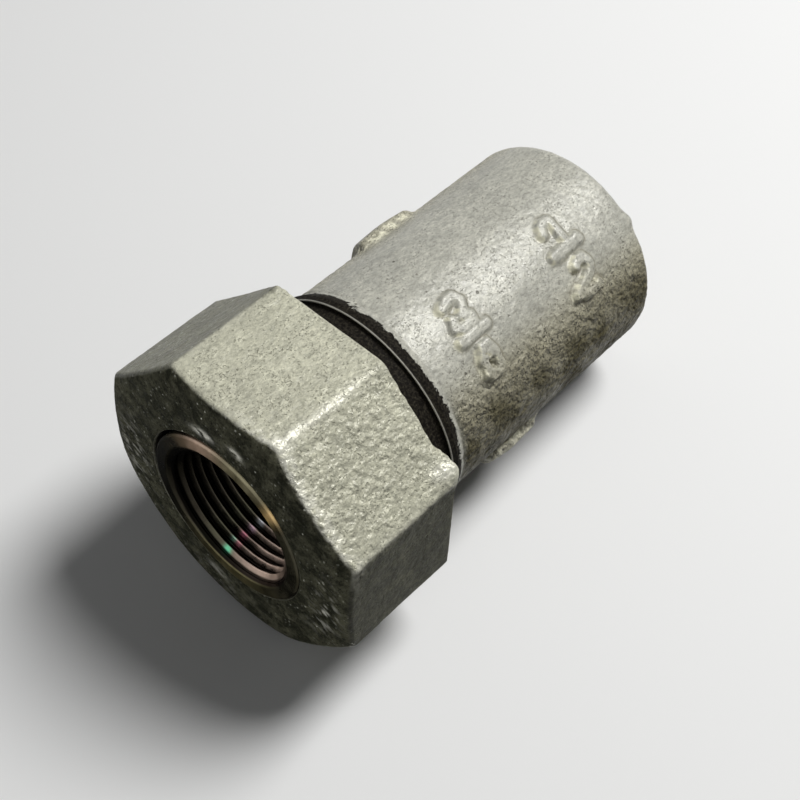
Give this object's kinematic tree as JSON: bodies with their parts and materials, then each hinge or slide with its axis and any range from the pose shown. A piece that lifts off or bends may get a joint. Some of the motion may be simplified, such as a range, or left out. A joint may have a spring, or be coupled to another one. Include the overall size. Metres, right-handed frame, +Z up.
{
  "type": "pipe union reducing adapter",
  "caption": "Metal reducing pipe adapter: a cast sleeve with a threaded outlet, and an octagonal union nut that clamps a threaded tail piece to it.",
  "frame": {"origin": "on the floor, below the middle of the fitting's box", "axes": "+X points from the union nut's end to the outlet end and +Z is up. The fitting's own axis drops by 6.20 degrees towards +X, because the fitting rests on the nut's rear lower edge and on the lower edge of the outlet end. The size marks face up and towards -Y."},
  "size_m": [0.0892, 0.054, 0.0562],
  "materials": {
    "zinc_coated_iron": "hot-dip galvanised, pitted satin",
    "plated_iron": "yellow passivated zinc, turned",
    "gasket": "matt"
  },
  "bodies": {
    "adapter": {"adapter_body": "zinc_coated_iron", "gasket": "gasket"},
    "tail": {"tail_piece": "plated_iron"},
    "nut": {"union_nut": "zinc_coated_iron"}
  },
  "joints": [
    {"name": "tail_slide", "type": "slide", "parent": "adapter", "child": "tail", "axis": [-0.9942, 0, 0.108], "range_m": [0, 0.00693]},
    {"name": "nut_turn", "type": "hinge", "parent": "tail", "child": "nut", "pos_m": [-0.02775, 0, 0.02788], "axis": [-0.9942, 0, 0.108], "range_deg": [0, 1080]}
  ],
  "couplings": [
    {"joint": "tail_slide", "follows": "nut_turn", "m_per_rad": 0.00036749}
  ]
}
